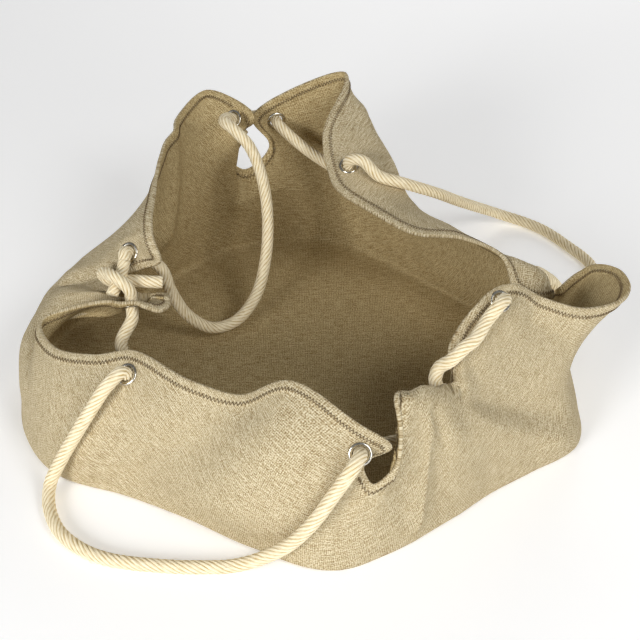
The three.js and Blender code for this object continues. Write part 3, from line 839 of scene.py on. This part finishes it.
# Materials
def colour(code):
    """Linear colour from an sRGB hex code."""
    parts = [int(code[i : i + 2], 16) / 255 for i in (1, 3, 5)]
    return [c / 12.92 if c <= 0.04045 else ((c + 0.055) / 1.055) ** 2.4 for c in parts] + [1.0]


def add(tree, kind, values, **settings):
    """Adds one shader node with its settings; a value is a number, a colour, an output, or a node for its
    first output."""
    made = tree.nodes.new("ShaderNode" + kind)
    for key, value in settings.items():
        setattr(made, key, value)
    for socket, value in values.items():
        if isinstance(value, bpy.types.Node):
            value = value.outputs[0]
        if isinstance(value, bpy.types.NodeSocket):
            tree.links.new(value, made.inputs[socket])
        else:
            made.inputs[socket].default_value = value
    return made


def paint(ramp, *stops):
    """Gives a colour ramp its stops, each a position and a colour code, from first to last."""
    elements = ramp.color_ramp.elements
    for position, _ in stops[1:-1]:
        elements.new(position)
    for element, (position, code) in zip(elements, stops):
        element.position = position
        element.color = colour(code)


def new_material(name, **values):
    """Material with its node tree and its shader, whose sockets take what is the same all over."""
    made = bpy.data.materials.new(name)
    made.use_nodes = True
    shader = made.node_tree.nodes["Principled BSDF"]
    for socket, value in values.items():
        shader.inputs[socket.replace("_", " ")].default_value = value
    return made, made.node_tree, shader


def jute_canvas(name, dark, middle, light):
    # Plain weave of uneven jute yarn: rows of small domes where the threads cross, every thread changing tone
    # along its length, the weft more than the warp, and hairy specks. Threads are drawn 1.8 mm apart, coarser
    # than real, so that they show.
    made, tree, shader = new_material(name, Roughness=0.95, Specular_IOR_Level=0.1)
    flat = add(tree, "UVMap", {}, uv_map="UVMap")
    split = add(tree, "SeparateXYZ", {"Vector": flat})
    speck = add(tree, "TexNoise", {"Vector": flat, "Scale": 1000 / SPECK_SIZE, "Detail": 0.0})
    grain = add(tree, "Math", {0: speck, 1: SPECK_SHARE}, operation="MULTIPLY")
    along = 1000 / SLUB_LENGTH
    across = 1000 / THREAD_PITCH
    warp = "X", (across, along, 1), WARP_SHARE
    weft = "Y", (along, across, 1), WEFT_SHARE
    for axis, stretch, tone_share in (warp, weft):
        turn = add(tree, "Math", {0: split.outputs[axis], 1: math.pi * across}, operation="MULTIPLY")
        wave = add(tree, "Math", {0: turn}, operation="SINE")
        dome = add(tree, "Math", {0: wave}, operation="ABSOLUTE")
        grain = add(tree, "Math", {0: dome, 1: DOME_SHARE, 2: grain}, operation="MULTIPLY_ADD")
        place = add(tree, "Mapping", {"Vector": flat, "Scale": stretch})
        tone = add(tree, "TexNoise", {"Vector": place, "Scale": 1.0, "Detail": 1.0})
        grain = add(tree, "Math", {0: tone, 1: tone_share, 2: grain}, operation="MULTIPLY_ADD")
    share = add(tree, "MapRange", {"Value": grain, "From Min": GRAIN_RANGE[0], "From Max": GRAIN_RANGE[1]})
    ramp = add(tree, "ValToRGB", {"Fac": share})
    paint(ramp, (0.0, dark), (0.5, middle), (1.0, light))
    tree.links.new(ramp.outputs[0], shader.inputs["Base Color"])
    bump = add(tree, "Bump", {"Height": grain, "Strength": 0.5, "Distance": CANVAS_RELIEF / 1000})
    tree.links.new(bump.outputs[0], shader.inputs["Normal"])
    return made


def jute_rope():
    # Pale twisted jute yarn: fine fibres run along every yarn at a slant, and the grooves between the yarns
    # are darker, painted shade where the yarns meet.
    made, tree, shader = new_material("jute rope", Roughness=0.9, Specular_IOR_Level=0.15)
    flat = add(tree, "UVMap", {}, uv_map="UVMap")
    stretch = (1000 / ROPE_FIBRE[0], 1000 / ROPE_FIBRE[1], 1)
    place = add(tree, "Mapping", {"Vector": flat, "Rotation": (0, 0, FIBRE_SLANT), "Scale": stretch})
    fibre = add(tree, "TexNoise", {"Vector": place, "Scale": 1.0, "Detail": 3.0})
    around = add(tree, "SeparateXYZ", {"Vector": flat}).outputs["Y"]
    half_waves = 1000 * ROPE_YARNS / (2 * ROPE_RADIUS)
    turn = add(tree, "Math", {0: around, 1: half_waves}, operation="MULTIPLY")
    wave = add(tree, "Math", {0: turn}, operation="SINE")
    crown = add(tree, "Math", {0: wave}, operation="ABSOLUTE")
    # Paler crowns and darker grooves of the yarns: painted shade in the grooves
    tone = add(tree, "Math", {0: crown, 1: GROOVE_SHADE_SHARE, 2: fibre}, operation="MULTIPLY_ADD")
    ramp = add(tree, "ValToRGB", {"Fac": tone})
    paint(ramp, (0.42, "#c2a66c"), (0.85, "#fff3d4"))
    tree.links.new(ramp.outputs[0], shader.inputs["Base Color"])
    bump = add(tree, "Bump", {"Height": fibre, "Strength": 0.6, "Distance": ROPE_RELIEF / 1000})
    tree.links.new(bump.outputs[0], shader.inputs["Normal"])
    return made


def patches(tree, shader, across, dark, light):
    """Colours the surface in soft patches of so many millimetres, and gives their noise."""
    place = add(tree, "TexCoord", {}).outputs["Object"]
    patch = add(tree, "TexNoise", {"Vector": place, "Scale": 1000 / across, "Detail": 2.0})
    ramp = add(tree, "ValToRGB", {"Fac": patch})
    paint(ramp, (0.3, dark), (0.7, light))
    tree.links.new(ramp.outputs[0], shader.inputs["Base Color"])
    return patch


def nickel_plate():
    # Steel rings pressed and nickel plated: a bright, slightly warm metal, with soft smears that break its
    # gloss.
    made, tree, shader = new_material("nickel plated steel", Metallic=1.0)
    smear = patches(tree, shader, NICKEL_SMEAR, "#c8c2b3", "#e4e0d6")
    limits = {"From Min": 0.3, "From Max": 0.7, "To Min": 0.14, "To Max": 0.32}
    dull = add(tree, "MapRange", {"Value": smear, **limits})
    tree.links.new(dull.outputs[0], shader.inputs["Roughness"])
    return made


def loose_fibre():
    # Single jute fibres pulled out of the yarn: pale, dry, and no two stretches of quite the same tone.
    made, tree, shader = new_material("loose jute fibre", Roughness=0.9)
    patches(tree, shader, FIBRE_TONE, "#d3c292", "#f6ecca")
    return made


def sewing_thread():
    # Brown thread twisted from several plies: matt, with a tone that changes from stitch to stitch.
    made, tree, shader = new_material("brown sewing thread", Roughness=0.8)
    patches(tree, shader, THREAD_TONE, "#584629", "#84704f")
    return made


def white_paper():
    # Smooth background paper that glows a little: even, matt and bright, so that only soft shadows show.
    made, _, _ = new_material(
        "white paper",
        Base_Color=colour("#f6f6f6"),
        Roughness=0.9,
        Emission_Color=colour("#ffffff"),
        Emission_Strength=0.23,
    )
    return made


# The pieces
def dress(obj, made, slot, *nodes):
    """Gives a piece its material and its CAD body, and hides the CAD nodes it stands for; slot is not used.
    """
    obj.data.materials.append(made)
    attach(obj, "root")
    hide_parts(*nodes)


outer_look = jute_canvas("jute canvas", "#8f7a55", "#c0b08d", "#e1d6b8")
# The inner face takes a darker, browner copy of the canvas: painted shade for the inside of the bag, where
# less light reaches
shaded_inner_look = jute_canvas("jute canvas, inner face with painted shade", "#846d44", "#b5a074", "#d5c499")
rope_look = jute_rope()
nickel_look = nickel_plate()
fibre_look = loose_fibre()
thread_look = sewing_thread()

route, route_ways = rope_points()
rope, rope_line, rope_length, rope_sides = laid_rope("laid_rope", [(route, route_ways, ROPE_SIDE)], ROPE_STEP)
dress(rope, rope_look, "jute_rope", "rope")
knot, knot_line, _, _ = laid_rope("tied_knot", knot_points(route, route_ways, rope_sides), KNOT_STEP)
dress(knot, rope_look, "jute_rope", "rope_knot")
canvas, grid, out = cloth(np.concatenate([rope_line, knot_line]))
dress(canvas, outer_look, "jute_canvas", "canvas_body")
# Second slot: the canvas copy with painted shade, for the inner face
canvas.data.materials.append(shaded_inner_look)
fibres = stray_fibres(rope_line, grid.reshape(-1, 3))
dress(fibres, fibre_look, "jute_rope")
stitches = stitching(grid, out)
dress(stitches, thread_look, "jute_canvas")
for node in frames:
    dress(eyelet(node), nickel_look, "nickel_plate", node)

# Studio, in metres: bright paper floor and four softboxes, a strong one low at the front left, a weak one low
# at the front right, one high on the right and one behind. Each has its name, place, width and watts
SOFTBOXES = (
    ("key softbox", (-1.3, -1.8, 1.0), 0.8, 34),
    ("fill softbox", (1.3, -2.0, 0.8), 1.1, 13),
    ("high softbox", (1.1, -1.3, 1.7), 0.8, 17),
    ("back softbox", (0.4, 2.3, 0.8), 1.2, 20),
)
LIGHT_AIM = Vector((0, 0, 0.08))
FLOOR_SIZE = 12
ROOM_LIGHT = 0.16

# Camera at the photo's angle: 38 degrees above the floor, 1.28 m away from a point 70 mm up
CAMERA_RISE = math.radians(38)
CAMERA_AWAY = 1.28
CAMERA_LENS = 75
CAMERA_TARGET = Vector(to_frame((0, 0, 70)))


def point_at(obj, place, target):
    """Puts a lamp or camera at its place, turned to its target."""
    obj.location = place
    obj.rotation_euler = (target - Vector(place)).to_track_quat("-Z", "Y").to_euler()
    bpy.context.scene.collection.objects.link(obj)


scene = bpy.context.scene
bpy.ops.mesh.primitive_plane_add(size=FLOOR_SIZE)
floor = bpy.context.object
floor.name = "studio floor"
floor.data.materials.append(white_paper())

world = bpy.data.worlds.new("studio")
scene.world = world
world.use_nodes = True
background = world.node_tree.nodes["Background"]
background.inputs["Color"].default_value = colour("#ffffff")
background.inputs["Strength"].default_value = ROOM_LIGHT

for name, place, width, power in SOFTBOXES:
    lamp = bpy.data.lights.new(name, "AREA")
    lamp.size = width
    lamp.energy = power
    softbox = bpy.data.objects.new(name, lamp)
    point_at(softbox, place, LIGHT_AIM)

camera = bpy.data.objects.new("camera", bpy.data.cameras.new("camera"))
camera.data.lens = CAMERA_LENS
view = CAMERA_AWAY * Vector((0, -math.cos(CAMERA_RISE), math.sin(CAMERA_RISE)))
point_at(camera, CAMERA_TARGET + view, CAMERA_TARGET)
scene.camera = camera
scene.view_settings.view_transform = "Standard"
